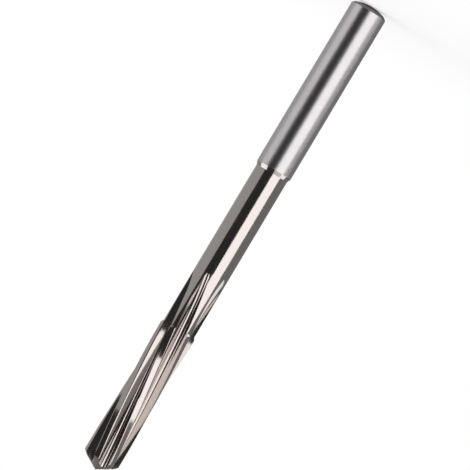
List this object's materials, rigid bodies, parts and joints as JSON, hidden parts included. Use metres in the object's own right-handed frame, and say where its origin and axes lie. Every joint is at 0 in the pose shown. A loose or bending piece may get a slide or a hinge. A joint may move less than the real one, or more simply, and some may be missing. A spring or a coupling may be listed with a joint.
{
  "type": "machine reamer",
  "caption": "Straight-shank machine reamer with a recessed neck, left-hand helical flutes that run out into the neck, a bevel lead and a conical point.",
  "frame": {"origin": "middle of the crowned end of the shank, on the tool's axis", "axes": "+Z along the axis, from the shank towards the point"},
  "size_m": [0.009, 0.009, 0.125],
  "materials": {
    "tool_steel": "satin ground shank, mirror-bright neck and flutes"
  },
  "bodies": {
    "root": {"reamer": "tool_steel"}
  },
  "joints": []
}
